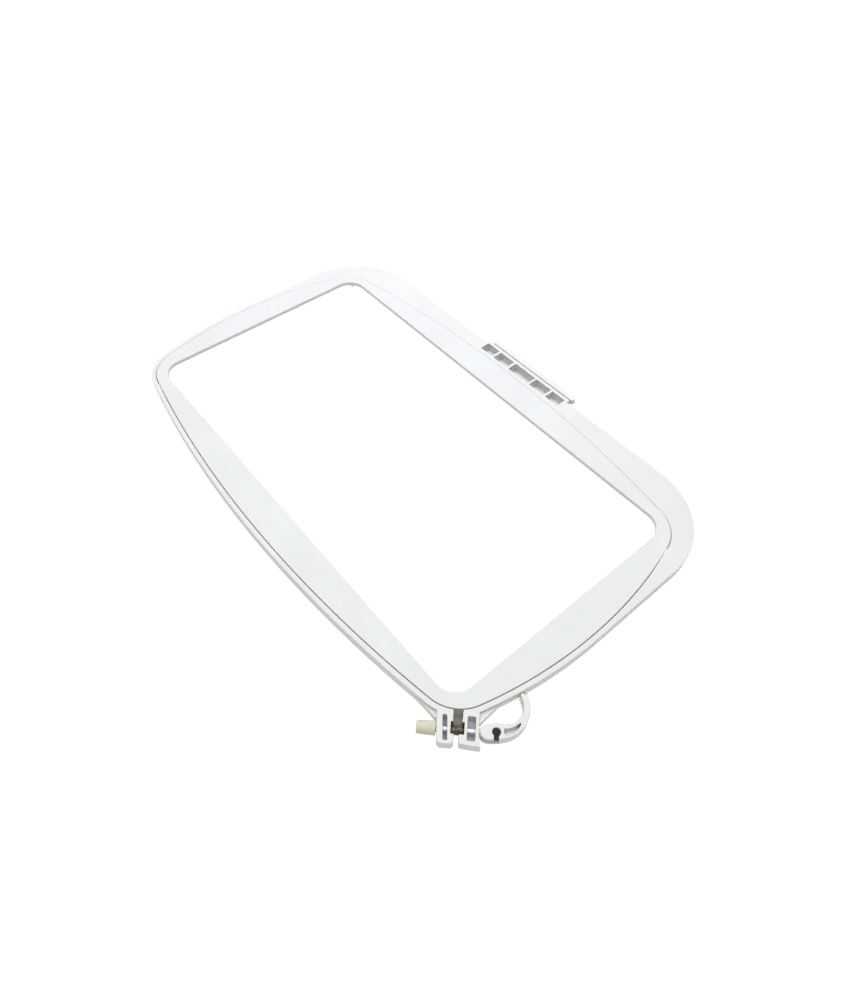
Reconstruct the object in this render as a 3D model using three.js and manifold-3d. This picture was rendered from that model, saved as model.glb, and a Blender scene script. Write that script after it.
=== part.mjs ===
// Large two-part embroidery hoop with a quick-release corner clamp, in millimetres, +Z up.
// X runs along the long sides, Y points at the side with the machine connector.
import * as THREE from 'three';
import { mergeVertices } from 'three/addons/utils/BufferGeometryUtils.js';
import Module from 'manifold-3d';

const wasm = await Module();
wasm.setup();

// Overall hoop
const OPENING_LENGTH = 386.2;
const OPENING_WIDTH = 206.6;
const OPENING_CORNER = 15.5;
const HOOP_HEIGHT = 9.4;

// Bowed outline of the inner hoop: every side is a shallow arc, every corner a fillet
const HALF_LENGTH = 217.65;
const HALF_WIDTH = 128.3;
const LONG_SIDE_RADIUS = 1041;
const SHORT_SIDE_RADIUS = 340;
const BOW_CORNER_RADIUS = 29.6;

// Walls
const PLATE_THICKNESS = 3.4;
const SKIRT_WALL = 2.4;
const HOOP_GAP = 0.7;
const GAP_SHIFT = 0.25;
const RING_WALL = 3.6;
const RING_OFFSET = HOOP_GAP + RING_WALL;
const RIB_WALL = 1.6;
const RIB_PITCH = 38;
const RIB_BOTTOM_Z = 3;
const RIB_INSET = 3;
const STUD_RADIUS = 0.8;
const STUD_OUTSET = 0.7;
const STUD_BOTTOM_Z = 3.8;

// Flange of the outer hoop on the connector side
const FLANGE_EDGE_Y = 141.6;
const FLANGE_HALF_LENGTH = HALF_LENGTH + RING_OFFSET;
const FLANGE_CORNER = 63;
const FLANGE_THICKNESS = 2.4;
const FLANGE_WALL = 2.4;

// Connector: five open windows in the flange, with a foot below them and a rail outside it
const WINDOW_EDGES = [[-37, -23], [-20.6, -4.2], [-1.7, 21.8], [23.9, 40.7], [43, 56.7]];
const WINDOW_Y = [132.2, 141.6];
const PAD_X = [-39.8, 59.6];
const PAD_EDGE_Y = 145;
const FOOT_X = [-59, 79];
const FOOT_Y = [132.6, 138.9];
const FLOOR_X = [-37.5, 57.2];
const FLOOR_EDGE_Y = 142;
const NECK_X = [-33, 57.2];
const FOOT_Z = [0.6, 2.4];
const RAIL_X = [-36, 62];
const RAIL_Y = [145.8, 151];
const RAIL_END_RADIUS = 2.6;
const RAIL_LIP_Z = 4.6;
const SCREW_X = [-54, -45, 65, 74];
const SCREW_Y = 135.9;
const SCREW_RADIUS = 1.3;
const SCREW_HEAD_RADIUS = 2.2;
const SCREW_LENGTH = 5.4;
const SCREW_HEAD_Z = 0.7;

// Clamp frame: x runs outward from beside the opening's corner along the diagonal, y along the clamp rod
const CLAMP_ANGLE = -Math.PI / 4;
const CLAMP_ORIGIN = [193.25, -103.5];
const ROD_X = 15.3;
const ROD_Z = 4.7;
const ROD_RADIUS = 2.15;
const ROD_HOLE_RADIUS = 2.5;
const SLOT_Y = [1.6, 6.5];
const SLOT_FLARE = 0.065;
const SPLIT_X = [2, 14];
const LUG_END = 25.4;
const LEFT_LUG_Y = -8.8;
const RIGHT_LUG_Y = 17.2;
const LUG_ROUND = 2.4;
const LEFT_POCKET = { x: [7.7, 23.3], y: [-5, -2.2] };
const RIGHT_POCKET = { x: [7.6, 22.5], y: [9.95, 15] };
const POCKET_FLOOR = 1.2;
const LEFT_GUSSET = [
  [-5, -8], [-5, -25], [-3.4, -24.2], [-0.9, -21.4], [1.9, -18.3], [5.9, -13.8], [9.6, -10.2], [10.2, -8],
];
const RIGHT_GUSSET = [[0, 16.8], [12, 16.8], [8.9, 19.3], [3.7, 24], [0.9, 26.5], [-1.9, 28.7], [-4, 28.7]];
const GUSSET_Z = [1, 6.8];
const TONGUE_X = [2, 11];
const TONGUE_ROOT_Y = -0.4;
const TONGUE_GAP = 0.4;
const TONGUE_Z = [0.3, 1.9];
const SPRING_RADIUS = 3.15;
const SPRING_WIRE = 0.7;
const SPRING_TURNS = 5;
const SEAT_DEPTH = 1.75;
const SEAT_THICKNESS = 0.4;
const NOTCH_HALF_LENGTH = 3.8;
const SEAT_TAB_X = [11.8, 14.2];
const SEAT_TAB_Z = [8.2, 9];
const SEAT_TAB_THICKNESS = 1.3;
const SEAT_WEB_BOTTOM = 7;
const NUT_END_Y = -21;
const NUT_RADII = [4.05, 4.45];
const NUT_BORE_RADIUS = 3.4;
const NUT_FLUTES = 20;
const WASHER_RADIUS = 3.3;
const WASHER_THICKNESS = 0.8;
const PIN_X = ROD_X + 0.2;
const PIN_Y = 27.6;
const PIN_RADIUS = 1.8;
const PIN_HEAD_RADIUS = 2.5;
const PIN_GROOVE_RADIUS = 1.2;
const PIN_TOP_Z = 8.8;
const EYE_RADIUS = 3.5;
const EYE_HALF_HEIGHT = 2.2;
const LEVER_SLOT_Z = [2.1, 7.3];
const LEVER_SLOT_SIDE = 2;
const KEY_X = 20.2;
const KEY_HALF_WIDTH = 1.45;
const CLIP_Z = [0.6, 1.1];
const CLIP_RADIUS = 3.2;
const TOUCH_GAP = 0.3;

const paints = {
  ivory: { color: 0xeceee9, roughness: 0.42, metalness: 0 },
  white: { color: 0xf0f2f4, roughness: 0.38, metalness: 0 },
  cream: { color: 0xcdcbb9, roughness: 0.5, metalness: 0 },
  steel: { color: 0xc3c6c8, roughness: 0.3, metalness: 1 },
  bronze: { color: 0x7a5a2c, roughness: 0.4, metalness: 1 },
  brass: { color: 0xb89b58, roughness: 0.35, metalness: 1 },
  black: { color: 0x15161a, roughness: 0.4, metalness: 0.6 },
};

// ---- solids -------------------------------------------------------------------------------

function toSolid(geometry) {
  const bare = geometry.clone();
  bare.deleteAttribute('normal');
  bare.deleteAttribute('uv');
  const merged = mergeVertices(bare, 1e-4);
  return new wasm.Manifold(new wasm.Mesh({
    numProp: 3,
    vertProperties: new Float32Array(merged.attributes.position.array),
    triVerts: new Uint32Array(merged.index.array),
  }));
}

function toGeometry(solid) {
  const mesh = solid.getMesh();
  const geometry = new THREE.BufferGeometry();
  geometry.setAttribute('position', new THREE.BufferAttribute(mesh.vertProperties, 3));
  geometry.setIndex(new THREE.BufferAttribute(mesh.triVerts, 1));
  geometry.computeVertexNormals();
  return geometry;
}

function join(...solids) {
  return solids.reduce((whole, solid) => whole.add(solid));
}

function cut(body, ...tools) {
  return tools.reduce((rest, tool) => rest.subtract(tool), body);
}

function prism(points, bottom, top, holes = []) {
  const shape = new THREE.Shape(points);
  shape.holes = holes.map((hole) => new THREE.Path(hole));
  const geometry = new THREE.ExtrudeGeometry(shape, { depth: top - bottom, bevelEnabled: false });
  return geometry.translate(0, 0, bottom);
}

function box([x0, x1], [y0, y1], [z0, z1]) {
  const geometry = new THREE.BoxGeometry(x1 - x0, y1 - y0, z1 - z0);
  return geometry.translate((x0 + x1) / 2, (y0 + y1) / 2, (z0 + z1) / 2);
}

// Cylinder or cone along Y between two places, at the given x and z
function barrel(x, z, y0, y1, radius0, radius1 = radius0, sides = 24) {
  const geometry = new THREE.CylinderGeometry(radius1, radius0, y1 - y0, sides);
  return geometry.translate(x, (y0 + y1) / 2, z);
}

// Upright cylinder between two heights
function post(x, y, z0, z1, radius0, radius1 = radius0, sides = 24) {
  const geometry = new THREE.CylinderGeometry(radius1, radius0, z1 - z0, sides);
  return geometry.rotateX(Math.PI / 2).translate(x, y, (z0 + z1) / 2);
}

function mesh(name, geometry, paint) {
  const part = new THREE.Mesh(geometry, new THREE.MeshStandardMaterial(paints[paint]));
  part.name = name;
  return part;
}

// ---- outlines -----------------------------------------------------------------------------

function arc(cx, cy, radius, from, to, steps) {
  const points = [];
  for (let i = 0; i <= steps; i += 1) {
    const angle = from + (to - from) * i / steps;
    points.push(new THREE.Vector2(cx + radius * Math.cos(angle), cy + radius * Math.sin(angle)));
  }
  return points;
}

function roundedRectangle([x0, x1], [y0, y1], radius, steps) {
  const quarter = Math.PI / 2;
  return [
    ...arc(x1 - radius, y0 + radius, radius, -quarter, 0, steps),
    ...arc(x1 - radius, y1 - radius, radius, 0, quarter, steps),
    ...arc(x0 + radius, y1 - radius, radius, quarter, 2 * quarter, steps),
    ...arc(x0 + radius, y0 + radius, radius, 2 * quarter, 3 * quarter, steps),
  ];
}

// The fillet touches the long and the short arc, so its centre lies at both their radii less its own
function bowFillet() {
  const longCentre = LONG_SIDE_RADIUS - HALF_WIDTH;
  const shortCentre = SHORT_SIDE_RADIUS - HALF_LENGTH;
  const toLong = LONG_SIDE_RADIUS - BOW_CORNER_RADIUS;
  const toShort = SHORT_SIDE_RADIUS - BOW_CORNER_RADIUS;
  const slope = shortCentre / longCentre;
  const offset = (toLong ** 2 - toShort ** 2 - longCentre ** 2 + shortCentre ** 2) / (2 * longCentre);
  const a = 1 + slope ** 2;
  const b = shortCentre + offset * slope;
  const c = shortCentre ** 2 + offset ** 2 - toShort ** 2;
  const x = (-b + Math.sqrt(b ** 2 - a * c)) / a;
  const y = offset + slope * x;
  const longAngle = Math.atan2(y + longCentre, x);
  const shortAngle = Math.atan2(y, x + shortCentre);
  return { x, y, longCentre, shortCentre, longAngle, shortAngle };
}

const fillet = bowFillet();

// One stretch of the bowed outline below the X axis, from the left side round to the right
function bowedLowerHalf(offset) {
  const { x, y, longCentre, shortCentre, longAngle, shortAngle } = fillet;
  const short = SHORT_SIDE_RADIUS + offset;
  const round = BOW_CORNER_RADIUS + offset;
  const turn = 2 * Math.PI;
  return [
    ...arc(shortCentre, 0, short, Math.PI, Math.PI + shortAngle, 8),
    ...arc(-x, -y, round, Math.PI + shortAngle, Math.PI + longAngle, 8).slice(1),
    ...arc(0, longCentre, LONG_SIDE_RADIUS + offset, Math.PI + longAngle, turn - longAngle, 24).slice(1),
    ...arc(x, -y, round, turn - longAngle, turn - shortAngle, 8).slice(1),
    ...arc(-shortCentre, 0, short, turn - shortAngle, turn, 8).slice(1),
  ];
}

function bowedOutline(offset) {
  const lower = bowedLowerHalf(offset);
  const upper = lower.slice(1, -1).map((point) => new THREE.Vector2(-point.x, -point.y));
  return [...lower, ...upper];
}

function flangeOutline(inset) {
  const edgeX = FLANGE_HALF_LENGTH - inset;
  const edgeY = FLANGE_EDGE_Y - inset;
  const radius = FLANGE_CORNER - inset;
  return [
    ...arc(edgeX - radius, edgeY - radius, radius, 0, Math.PI / 2, 14),
    ...arc(radius - edgeX, edgeY - radius, radius, Math.PI / 2, Math.PI, 14),
  ];
}

// ---- inner hoop ---------------------------------------------------------------------------

function innerRibs() {
  const ribs = [];
  const top = HOOP_HEIGHT - PLATE_THICKNESS / 2;
  const half = RIB_WALL / 2;
  for (let i = -5; i <= 5; i += 1) {
    const x = i * RIB_PITCH;
    for (const side of [-1, 1]) {
      const y = [side * (OPENING_WIDTH / 2 + RIB_INSET), side * HALF_WIDTH].sort((a, b) => a - b);
      ribs.push(toSolid(box([x - half, x + half], y, [RIB_BOTTOM_Z, top])));
    }
  }
  for (let i = -2; i <= 2; i += 1) {
    const y = i * RIB_PITCH;
    for (const side of [-1, 1]) {
      const x = [side * (OPENING_LENGTH / 2 + RIB_INSET), side * HALF_LENGTH].sort((a, b) => a - b);
      ribs.push(toSolid(box(x, [y - half, y + half], [RIB_BOTTOM_Z, top])));
    }
  }
  return join(...ribs).intersect(toSolid(prism(bowedOutline(-1), 0, HOOP_HEIGHT)));
}

// Small stud under the plate, at the corner of the opening that lies opposite the clamp
function cornerStud() {
  const inset = OPENING_CORNER - (OPENING_CORNER + STUD_OUTSET) * Math.SQRT1_2;
  const [x, y] = [inset - OPENING_LENGTH / 2, OPENING_WIDTH / 2 - inset];
  return toSolid(post(x, y, STUD_BOTTOM_Z, HOOP_HEIGHT - 1, STUD_RADIUS));
}

function innerHoop() {
  const opening = roundedRectangle(
    [-OPENING_LENGTH / 2, OPENING_LENGTH / 2], [-OPENING_WIDTH / 2, OPENING_WIDTH / 2], OPENING_CORNER, 6);
  const plate = toSolid(prism(bowedOutline(0), HOOP_HEIGHT - PLATE_THICKNESS, HOOP_HEIGHT, [opening]));
  const skirt = toSolid(prism(bowedOutline(0), 0, HOOP_HEIGHT, [bowedOutline(-SKIRT_WALL)]));
  return mesh('inner_hoop', toGeometry(join(plate, skirt, innerRibs(), cornerStud())), 'white');
}

// ---- outer hoop ---------------------------------------------------------------------------

// Moves a solid made in the clamp frame into the hoop's frame
function fromClamp(geometry) {
  return geometry.rotateZ(CLAMP_ANGLE).translate(...CLAMP_ORIGIN, 0);
}

// Both lugs lean towards each other, so their outlines are sheared along the rod
function leaning(points, lean) {
  return points.map((point) => new THREE.Vector2(point.x, point.y + lean * (point.x - ROD_X)));
}

function clampLugs() {
  const quarter = Math.PI / 2;
  const left = leaning([
    new THREE.Vector2(0, SLOT_Y[0]),
    new THREE.Vector2(0, LEFT_LUG_Y),
    ...arc(LUG_END - LUG_ROUND, LEFT_LUG_Y + LUG_ROUND, LUG_ROUND, -quarter, 0, 5),
    ...arc(LUG_END - LUG_ROUND, SLOT_Y[0] - LUG_ROUND, LUG_ROUND, 0, quarter, 5),
  ], SLOT_FLARE);
  const right = [
    new THREE.Vector2(0, SLOT_Y[1] + SLOT_FLARE * ROD_X),
    new THREE.Vector2(17.6, SLOT_Y[1] - 0.15),
    new THREE.Vector2(18.9, SLOT_Y[1] - 1.4),
    ...arc(LUG_END - 1.9, SLOT_Y[1] + 0.1, 1.5, -quarter, 0, 4),
    new THREE.Vector2(LUG_END + 0.3, RIGHT_LUG_Y + 1.2),
    new THREE.Vector2(19.5, RIGHT_LUG_Y),
    new THREE.Vector2(0, RIGHT_LUG_Y),
  ];
  return [left, right].map((outline) => toSolid(fromClamp(prism(outline, 0, HOOP_HEIGHT))));
}

// Low webs that stiffen each lug against the ring
function lugGussets() {
  return [LEFT_GUSSET, RIGHT_GUSSET].map((corners) => {
    const outline = corners.map(([x, y]) => new THREE.Vector2(x, y)).reverse();
    return toSolid(fromClamp(prism(outline, ...GUSSET_Z)));
  });
}

// The gap between the lugs runs on through the ring and is a little wider there
function ringSplit() {
  const [x0, x1] = SPLIT_X;
  const corners = [[x0, SLOT_Y[0], -1], [x1, SLOT_Y[0], -1], [x1, SLOT_Y[1], 1], [x0, SLOT_Y[1], 1]];
  const outline = corners.map(([x, y, side]) => new THREE.Vector2(x, y + side * SLOT_FLARE * (ROD_X - x)));
  return toSolid(fromClamp(prism(outline, -1, HOOP_HEIGHT + 1)));
}

// A tongue on the left lug bridges the foot of the split, so that cloth isn't pinched in it
function splitTongue() {
  const [x0, x1] = TONGUE_X;
  const tip = (x) => SLOT_Y[1] + SLOT_FLARE * (ROD_X - x) - TONGUE_GAP;
  const corners = [[x0, TONGUE_ROOT_Y], [x1, TONGUE_ROOT_Y], [x1, tip(x1)], [x0, tip(x0)]];
  const outline = corners.map(([x, y]) => new THREE.Vector2(x, y));
  return toSolid(fromClamp(prism(outline, ...TONGUE_Z)));
}

function clampHoles() {
  const holes = [];
  for (const [{ x, y }, lean] of [[LEFT_POCKET, SLOT_FLARE], [RIGHT_POCKET, 0]]) {
    holes.push(prism(leaning(roundedRectangle(x, y, 1, 3), lean), POCKET_FLOOR, HOOP_HEIGHT + 1));
  }
  holes.push(barrel(ROD_X, ROD_Z, LEFT_LUG_Y - 1, RIGHT_LUG_Y + 3, ROD_HOLE_RADIUS));
  const half = NOTCH_HALF_LENGTH;
  const seats = [SLOT_Y[0] - SEAT_DEPTH, SLOT_Y[1] + SEAT_DEPTH];
  holes.push(box([ROD_X - half, ROD_X + half], seats, [ROD_Z - half, HOOP_HEIGHT + 1]));
  return holes.map((hole) => toSolid(fromClamp(hole)));
}

function flangeHollow() {
  const hollowTop = HOOP_HEIGHT - FLANGE_THICKNESS;
  const inside = [
    ...flangeOutline(FLANGE_WALL),
    new THREE.Vector2(-FLANGE_HALF_LENGTH + FLANGE_WALL, 20),
    new THREE.Vector2(FLANGE_HALF_LENGTH - FLANGE_WALL, 20),
  ];
  const hollow = cut(toSolid(prism(inside, -1, hollowTop)), toSolid(prism(bowedOutline(RING_OFFSET), -2, 20)));
  const ribs = [];
  for (let i = -5; i <= 5; i += 1) {
    const x = 9 + i * RIB_PITCH;
    if (x < FOOT_X[0] - 2 || x > FOOT_X[1] + 2) {
      ribs.push(toSolid(box([x - RIB_WALL / 2, x + RIB_WALL / 2], [60, FLANGE_EDGE_Y], [2, HOOP_HEIGHT])));
    }
  }
  return cut(hollow, ...ribs);
}

// Stepped plate of the connector: foot, floor of the windows and neck to the rail
function footPlate(grow, [z0, z1]) {
  const steps = [[FOOT_X, FOOT_Y[1]], [FLOOR_X, FLOOR_EDGE_Y], [NECK_X, RAIL_Y[0] + 1]];
  return join(...steps.map(([[x0, x1], edge]) => {
    return toSolid(box([x0 - grow, x1 + grow], [FOOT_Y[0] - grow, edge + grow], [z0, z1]));
  }));
}

function connectorOpenings() {
  const windows = WINDOW_EDGES.map((edges) => toSolid(box(edges, WINDOW_Y, [-1, HOOP_HEIGHT + 1])));
  return [...windows, footPlate(TOUCH_GAP, [-1, FOOT_Z[1] + TOUCH_GAP])];
}

// Thick pad round the windows, standing a little outside the flange's edge
function connectorPad() {
  return toSolid(box(PAD_X, [WINDOW_Y[0] - 1.7, PAD_EDGE_Y], [0, HOOP_HEIGHT]));
}

function screwBosses() {
  return SCREW_X.map((x) => toSolid(post(x, SCREW_Y, FOOT_Z[1], HOOP_HEIGHT - 1, 3)));
}

function screwHoles() {
  return SCREW_X.map((x) => toSolid(post(x, SCREW_Y, -1, HOOP_HEIGHT - 2, SCREW_RADIUS + TOUCH_GAP)));
}

// Small catch on the ring, just past the lever's tip
function leverCatch() {
  return toSolid(box([213, 217.6], [-63.6, -61.2], [2, 7]));
}

// The inner hoop lies against the far sides, so the gap round it is wider beside the clamp
function outerHoop() {
  const outline = [...flangeOutline(0), ...bowedLowerHalf(RING_OFFSET)];
  const hole = prism(bowedOutline(HOOP_GAP), -1, HOOP_HEIGHT + 1);
  const interior = toSolid(hole.translate(GAP_SHIFT, -GAP_SHIFT, 0));
  const shell = cut(toSolid(prism(outline, 0, HOOP_HEIGHT)), flangeHollow());
  const body = join(shell, ...clampLugs(), ...lugGussets(), connectorPad(), ...screwBosses(), leverCatch());
  const opened = cut(body, ringSplit(), ...clampHoles(), ...connectorOpenings(), ...screwHoles());
  return mesh('outer_hoop', toGeometry(cut(join(opened, splitTongue()), interior)), 'ivory');
}

// ---- connector ----------------------------------------------------------------------------

function connectorBlock() {
  const rail = toSolid(prism(roundedRectangle(RAIL_X, RAIL_Y, RAIL_END_RADIUS, 6), RAIL_LIP_Z, HOOP_HEIGHT));
  const neck = toSolid(box(NECK_X, RAIL_Y, [FOOT_Z[0], RAIL_LIP_Z + 1]));
  const holes = SCREW_X.flatMap((x) => [
    toSolid(post(x, SCREW_Y, -1, HOOP_HEIGHT, SCREW_RADIUS + TOUCH_GAP)),
    toSolid(post(x, SCREW_Y, -1, SCREW_HEAD_Z + 1, SCREW_HEAD_RADIUS + TOUCH_GAP)),
  ]);
  return mesh('connector_block', toGeometry(cut(join(footPlate(0, FOOT_Z), neck, rail), ...holes)), 'white');
}

function connectorScrew(x, index) {
  const tip = SCREW_HEAD_Z + SCREW_LENGTH;
  const profile = [
    [0, SCREW_HEAD_Z], [SCREW_HEAD_RADIUS, SCREW_HEAD_Z], [SCREW_HEAD_RADIUS, SCREW_HEAD_Z + 0.5],
    [SCREW_RADIUS, SCREW_HEAD_Z + 0.9], [SCREW_RADIUS, tip - 0.8], [0, tip],
  ].map(([radius, z]) => new THREE.Vector2(radius, z));
  const geometry = new THREE.LatheGeometry(profile, 16).rotateX(Math.PI / 2).translate(x, SCREW_Y, 0);
  return mesh(`connector_screw_${index + 1}`, geometry, 'steel');
}

// ---- clamp pieces, all in the clamp frame --------------------------------------------------

function clampRod() {
  const end = NUT_END_Y + 2.4;
  const shank = toSolid(barrel(ROD_X, ROD_Z, end, PIN_Y - 2, ROD_RADIUS));
  const eye = toSolid(post(PIN_X, PIN_Y, ROD_Z - EYE_HALF_HEIGHT, ROD_Z + EYE_HALF_HEIGHT, EYE_RADIUS));
  const hole = toSolid(post(PIN_X, PIN_Y, -1, HOOP_HEIGHT + 1, PIN_RADIUS + TOUCH_GAP));
  return mesh('clamp_rod', toGeometry(cut(join(shank, eye), hole)), 'steel');
}

function clampSpring() {
  const y0 = SLOT_Y[0] - SEAT_DEPTH + SEAT_THICKNESS + 2 * TOUCH_GAP + SPRING_WIRE / 2;
  const y1 = SLOT_Y[1] + SEAT_DEPTH - SEAT_THICKNESS - 2 * TOUCH_GAP - SPRING_WIRE / 2;
  const coil = SPRING_RADIUS - SPRING_WIRE / 2;
  const points = [];
  const steps = SPRING_TURNS * 12;
  for (let i = 0; i <= steps; i += 1) {
    const turn = 2 * Math.PI * SPRING_TURNS * i / steps;
    const y = y0 + (y1 - y0) * i / steps;
    points.push(new THREE.Vector3(ROD_X + coil * Math.cos(turn), y, ROD_Z + coil * Math.sin(turn)));
  }
  const wire = new THREE.Shape(arc(0, 0, SPRING_WIRE / 2, 0, 2 * Math.PI, 8).slice(1));
  const path = new THREE.CatmullRomCurve3(points);
  const geometry = new THREE.ExtrudeGeometry(wire, { steps: SPRING_TURNS * 14, extrudePath: path });
  return mesh('clamp_spring', geometry, 'bronze');
}

function tube(y0, y1, outer, inner, sides = 24) {
  const body = toSolid(barrel(ROD_X, ROD_Z, y0, y1, outer, outer, sides));
  return toGeometry(cut(body, toSolid(barrel(ROD_X, ROD_Z, y0 - 1, y1 + 1, inner))));
}

// Each seat is a ring behind the spring with a tab bent over the spring's end
function springSeat(name, y, tabY) {
  const ring = toSolid(tube(y, y + SEAT_THICKNESS, SPRING_RADIUS, ROD_HOLE_RADIUS));
  const web = toSolid(box(SEAT_TAB_X, [y, y + SEAT_THICKNESS], [SEAT_WEB_BOTTOM, SEAT_TAB_Z[1]]));
  const tab = toSolid(box(SEAT_TAB_X, [tabY, tabY + SEAT_TAB_THICKNESS], SEAT_TAB_Z));
  return mesh(name, toGeometry(join(ring, web, tab)), 'black');
}

function springSeats() {
  const left = SLOT_Y[0] - SEAT_DEPTH + TOUCH_GAP;
  const right = SLOT_Y[1] + SEAT_DEPTH - TOUCH_GAP;
  return [
    springSeat('spring_seat_left', left, left),
    springSeat('spring_seat_right', right - SEAT_THICKNESS, right - SEAT_TAB_THICKNESS),
  ];
}

const washerY = LEFT_LUG_Y - TOUCH_GAP - WASHER_THICKNESS;

function nutWasher() {
  return mesh('nut_washer', tube(washerY, washerY + WASHER_THICKNESS, WASHER_RADIUS, ROD_HOLE_RADIUS), 'steel');
}

// The nut's open end reaches the lug and hides the washer
function thumbNut() {
  const y1 = LEFT_LUG_Y - 2 * TOUCH_GAP;
  const body = toSolid(barrel(ROD_X, ROD_Z, NUT_END_Y, y1, NUT_RADII[0], NUT_RADII[1], 40));
  const bore = toSolid(barrel(ROD_X, ROD_Z, NUT_END_Y + 1.2, y1 + 1, NUT_BORE_RADIUS + TOUCH_GAP));
  const mouth = toSolid(barrel(ROD_X, ROD_Z, NUT_END_Y - 1, NUT_END_Y + 2, 1.4));
  const grooves = [];
  for (let i = 0; i < NUT_FLUTES; i += 1) {
    const angle = 2 * Math.PI * i / NUT_FLUTES;
    const geometry = barrel(0, 0, NUT_END_Y - 1, y1 - 1.4, 0.3, 0.3, 6);
    const reach = NUT_RADII[0] + 0.2;
    geometry.translate(ROD_X + reach * Math.cos(angle), 0, ROD_Z + reach * Math.sin(angle));
    grooves.push(toSolid(geometry));
  }
  return mesh('thumb_nut', toGeometry(cut(body, bore, mouth, ...grooves)), 'cream');
}

function nutInsert() {
  const y1 = washerY - TOUCH_GAP - 0.4;
  return mesh('nut_insert', tube(y1 - 7.5, y1, NUT_BORE_RADIUS, ROD_RADIUS + TOUCH_GAP), 'brass');
}

// Crescent lever seen from above, round the cam nose, along the inside to the tip and back outside
const LEVER_OUTLINE = [
  [16.6, 17.9], [13.5, 19.4], [11, 22.6], [10.1, 27.5], [10.2, 32], [9.6, 36.2], [7.4, 39.9], [4.2, 42.4],
  [1, 43.7], [-2.5, 43.8], [-6.4, 42.8], [-9.2, 41.9], [-10.1, 43.8], [-8.8, 46], [-5.5, 47.3], [-1.2, 48.1],
  [3.6, 47.6], [8.3, 46], [12.5, 43.4], [15.5, 40.3], [17.7, 36.6], [19.3, 32], [20.3, 27], [20.5, 22.2],
  [19.2, 19],
];

// Crescent recess in the lever's top face
const RECESS_OUTLINE = [
  [13.2, 32.3], [12.9, 34.1], [12.1, 36.8], [10.6, 39.4], [8.6, 42.2], [9.9, 42.2], [13.3, 40.1], [16.2, 36.8],
  [16.9, 32.7],
];
const RECESS_FLOOR = 4.6;
const RECESS_RISE = [0.81, 0.28];

function splineOutline(corners, steps) {
  const points = corners.map(([x, y]) => new THREE.Vector3(x, y, 0));
  const curve = new THREE.CatmullRomCurve3(points, true, 'centripetal');
  return curve.getPoints(steps).slice(0, -1).map((point) => new THREE.Vector2(point.x, point.y));
}

// Slot across the hub that the rod's eye turns in, from the rod's side round to the outside
function leverSlot() {
  const reach = EYE_RADIUS + 0.4;
  const outline = [
    ...arc(PIN_X, PIN_Y, reach, Math.asin(LEVER_SLOT_SIDE / reach), Math.PI, 16),
    new THREE.Vector2(PIN_X - reach, PIN_Y - 12),
    new THREE.Vector2(PIN_X + 12, PIN_Y - 12),
    new THREE.Vector2(PIN_X + 12, PIN_Y + LEVER_SLOT_SIDE),
  ];
  return toSolid(prism(outline, ...LEVER_SLOT_Z));
}

// The recess is deepest at its inner edge and its floor climbs towards the lever's outside
function leverRecess() {
  const geometry = prism(splineOutline(RECESS_OUTLINE, 27), 0, HOOP_HEIGHT + 1);
  const places = geometry.attributes.position;
  const [x0, y0] = RECESS_OUTLINE[0];
  for (let i = 0; i < places.count; i += 1) {
    if (places.getZ(i) < HOOP_HEIGHT) {
      const rise = RECESS_RISE[0] * (places.getX(i) - x0) + RECESS_RISE[1] * (places.getY(i) - y0);
      places.setZ(i, RECESS_FLOOR + rise);
    }
  }
  return toSolid(geometry);
}

function camLever() {
  const body = toSolid(prism(splineOutline(LEVER_OUTLINE, 72), TOUCH_GAP, HOOP_HEIGHT));
  const pinHole = toSolid(post(PIN_X, PIN_Y, -1, HOOP_HEIGHT + 1, PIN_RADIUS + TOUCH_GAP));
  const headSeat = toSolid(post(PIN_X, PIN_Y, ROD_Z, HOOP_HEIGHT + 1, PIN_HEAD_RADIUS + TOUCH_GAP));
  const clipSeat = toSolid(post(PIN_X, PIN_Y, -1, CLIP_Z[1] + 0.2, CLIP_RADIUS + 0.4));
  const side = KEY_HALF_WIDTH + TOUCH_GAP;
  const keywayZ = [LEVER_SLOT_Z[1] - 0.2, HOOP_HEIGHT + 1];
  const keyway = toSolid(box([PIN_X, PIN_X + 8], [PIN_Y - side, PIN_Y + side], keywayZ));
  const holes = [leverRecess(), leverSlot(), pinHole, headSeat, clipSeat, keyway];
  return mesh('cam_lever', toGeometry(cut(body, ...holes)), 'ivory');
}

// The pin's head has a key that lies in the lever's keyway
function leverPin() {
  const foot = TOUCH_GAP + 0.1;
  const groove = [CLIP_Z[0] - 0.1, CLIP_Z[1] + 0.1];
  const shoulder = LEVER_SLOT_Z[1] + 0.1;
  const profile = [
    [0, foot], [PIN_RADIUS, foot], [PIN_RADIUS, groove[0]],
    [PIN_GROOVE_RADIUS, groove[0]], [PIN_GROOVE_RADIUS, groove[1]],
    [PIN_RADIUS, groove[1]], [PIN_RADIUS, shoulder],
    [PIN_HEAD_RADIUS, shoulder], [PIN_HEAD_RADIUS, PIN_TOP_Z], [0, PIN_TOP_Z],
  ].map(([radius, z]) => new THREE.Vector2(radius, z));
  const turned = new THREE.LatheGeometry(profile, 24).rotateX(Math.PI / 2).translate(PIN_X, PIN_Y, 0);
  const keyY = [PIN_Y - KEY_HALF_WIDTH, PIN_Y + KEY_HALF_WIDTH];
  const key = toSolid(box([PIN_X, KEY_X], keyY, [shoulder, PIN_TOP_Z - 0.1]));
  return mesh('lever_pin', toGeometry(join(toSolid(turned), key)), 'black');
}

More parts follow.
